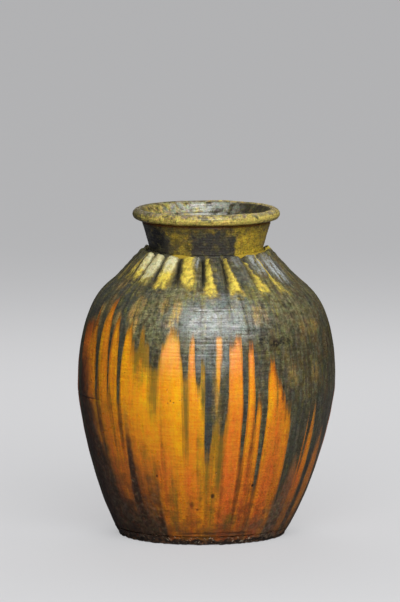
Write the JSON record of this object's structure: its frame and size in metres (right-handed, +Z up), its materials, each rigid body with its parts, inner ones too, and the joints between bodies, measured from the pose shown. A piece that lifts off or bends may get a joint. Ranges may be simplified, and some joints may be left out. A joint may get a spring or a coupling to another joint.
{
  "type": "jar-shaped vase",
  "caption": "Wide-bellied glazed stoneware jar with a flat foot, a ruff of clay ribs round the shoulder, a short flared neck and a rolled lip.",
  "frame": {"origin": "centre of the jar's footprint on the surface it stands on, below the centre of its belly and mouth", "axes": "+Z up along the jar's axis, -Y towards the front seen in the picture, +X to the viewer's right"},
  "size_m": [0.354, 0.354, 0.45],
  "materials": {
    "bare_clay": "unglazed stoneware, matt, darkened and chipped along its edge",
    "body_glaze": "orange and amber glaze under dark olive runs, satin gloss with fine orange peel",
    "shoulder_glaze": "dark olive glaze, mottled, breaking to amber windows lower down, satin gloss",
    "rib_glaze": "mustard yellow glaze on the flanks of the ribs with dark olive pools between, satin gloss",
    "neck_glaze": "patches of mustard and near-black glaze, satin gloss",
    "lip_glaze": "mottled olive and yellow glaze worn thin on the crest, satin gloss"
  },
  "bodies": {
    "root": {"base_slab": "bare_clay", "lower_wall": "body_glaze", "belly_wall": "body_glaze", "shoulder_wall": "shoulder_glaze", "neck": "neck_glaze", "rolled_lip": "lip_glaze", "rib_01": "rib_glaze", "rib_02": "rib_glaze", "rib_03": "rib_glaze", "rib_04": "rib_glaze", "rib_05": "rib_glaze", "rib_06": "rib_glaze", "rib_07": "rib_glaze", "rib_08": "rib_glaze", "rib_09": "rib_glaze", "rib_10": "rib_glaze", "rib_11": "rib_glaze", "rib_12": "rib_glaze", "rib_13": "rib_glaze", "rib_14": "rib_glaze", "rib_15": "rib_glaze", "rib_16": "rib_glaze", "rib_17": "rib_glaze", "rib_18": "rib_glaze", "rib_19": "rib_glaze", "rib_20": "rib_glaze", "rib_21": "rib_glaze", "rib_22": "rib_glaze"}
  },
  "joints": []
}
